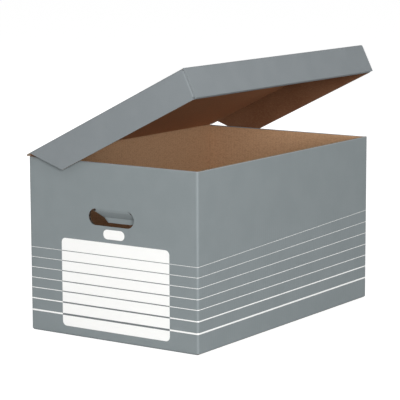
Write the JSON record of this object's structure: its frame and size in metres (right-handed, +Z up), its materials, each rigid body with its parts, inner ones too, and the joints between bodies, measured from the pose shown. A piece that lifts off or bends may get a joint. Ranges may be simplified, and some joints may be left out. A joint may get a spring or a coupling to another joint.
{
  "type": "archive box",
  "caption": "Flip-top corrugated board archive box for A4 files, with a tray lid hinged on a long wall, rolled end walls and push-in hand-hole flaps.",
  "frame": {"origin": "middle of the underside, where the box stands", "axes": "+X across the box from the hinge wall to the open long wall, +Y along it from the labelled end to the far end, +Z up"},
  "size_m": [0.3404, 0.548, 0.45],
  "materials": {
    "printed_board": "flat grey print on kraft corrugated board",
    "lid_board": "flat grey print on kraft corrugated board"
  },
  "bodies": {
    "box": {"box_body": "printed_board"},
    "lid": {"lid": "lid_board"},
    "front_flap": {"hand_flap_front": "printed_board"},
    "rear_flap": {"hand_flap_rear": "printed_board"}
  },
  "joints": [
    {"name": "lid_crease", "type": "hinge", "parent": "box", "child": "lid", "pos_m": [-0.168, 0, 0.2934], "axis": [0, -1, 0], "range_deg": [-26.4, 208]},
    {"name": "front_flap_crease", "type": "hinge", "parent": "box", "child": "front_flap", "pos_m": [0, -0.262, 0.2155], "axis": [1, 0, 0], "range_deg": [-42, 58]},
    {"name": "rear_flap_crease", "type": "hinge", "parent": "box", "child": "rear_flap", "pos_m": [0, 0.262, 0.2155], "axis": [-1, 0, 0], "range_deg": [-42, 58]}
  ]
}
